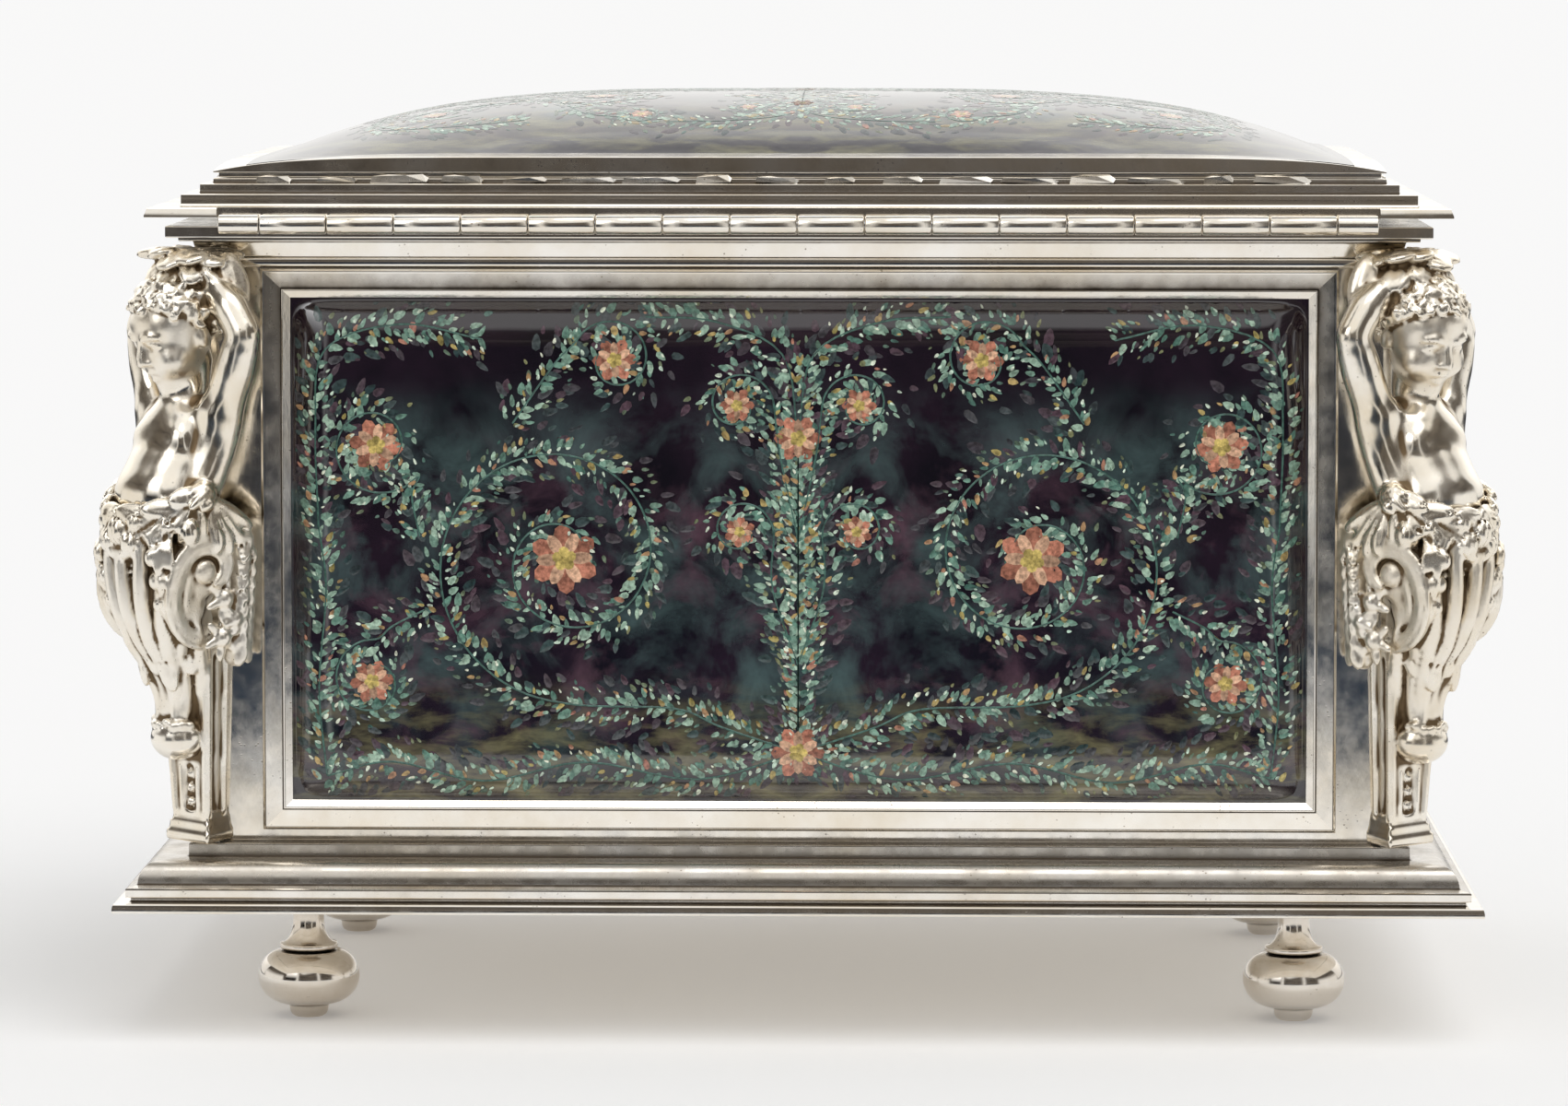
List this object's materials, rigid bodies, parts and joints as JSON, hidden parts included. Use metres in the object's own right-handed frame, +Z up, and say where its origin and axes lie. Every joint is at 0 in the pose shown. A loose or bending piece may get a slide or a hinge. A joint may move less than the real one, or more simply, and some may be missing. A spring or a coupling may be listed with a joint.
{
  "type": "enamel jewellery casket",
  "caption": "Footed rectangular metal casket with framed enamel side panels, cast putto terms on the corners, a domed enamel lid on a piano hinge, a lock and a velvet lining.",
  "frame": {"origin": "middle of the footprint, on the table under the feet", "axes": "+Z up, +X along the length, -Y towards the hinge side that the picture shows, +Y towards the lock"},
  "size_m": [0.2166, 0.1466, 0.1451],
  "materials": {
    "silver": "polished warm silver plate with fine scratches",
    "cast_silver": "cast and polished silver plate, tarnished in its hollows",
    "hinge_metal": "silvered brass, lightly worn",
    "steel": "plain machined steel",
    "enamel": "glossy painted enamel on copper",
    "velvet": "short velvet pile",
    "board": "plain board"
  },
  "bodies": {
    "body": {"base_plate": "silver", "keyhole_escutcheon": "silver", "foot_back_left": "silver", "foot_back_right": "silver", "foot_front_right": "silver", "foot_front_left": "silver", "plinth_back": "silver", "plinth_right": "silver", "plinth_front": "silver", "plinth_left": "silver", "wall_back": "silver", "wall_right": "silver", "wall_front": "silver", "wall_left": "silver", "cornice_back": "silver", "cornice_right": "silver", "cornice_front": "silver", "cornice_left": "silver", "panel_frame_back": "silver", "panel_frame_right": "silver", "panel_frame_front": "silver", "panel_frame_left": "silver", "figure_back_left": "cast_silver", "figure_back_right": "cast_silver", "figure_front_right": "cast_silver", "figure_front_left": "cast_silver", "enamel_panel_back": "enamel", "enamel_panel_right": "enamel", "enamel_panel_front": "enamel", "enamel_panel_left": "enamel", "hinge_leaf_body": "hinge_metal", "hinge_pin": "steel", "lock_case": "steel", "foot_nut_back_left": "steel", "foot_nut_back_right": "steel", "foot_nut_front_right": "steel", "foot_nut_front_left": "steel", "figure_screw_back_left": "steel", "figure_screw_back_right": "steel", "figure_screw_front_right": "steel", "figure_screw_front_left": "steel", "lining_floor": "velvet", "lining_back": "velvet", "lining_right": "velvet", "lining_front": "velvet", "lining_left": "velvet"},
    "lid": {"lid_moulding_back": "silver", "lid_moulding_right": "silver", "lid_moulding_front": "silver", "lid_moulding_left": "silver", "lid_bezel": "silver", "lid_enamel_dome": "enamel", "lid_board": "board", "lid_pad": "velvet", "lid_staple": "steel", "hinge_leaf_lid": "hinge_metal"},
    "bolt": {"lock_bolt": "steel"}
  },
  "joints": [
    {"name": "lid_hinge", "type": "hinge", "parent": "body", "child": "lid", "pos_m": [0, -0.0649, 0.1257], "axis": [1, 0, 0], "range_deg": [0, 100]},
    {"name": "bolt_slide", "type": "slide", "parent": "body", "child": "bolt", "axis": [1, 0, 0], "range_m": [0, 0.004]}
  ]
}
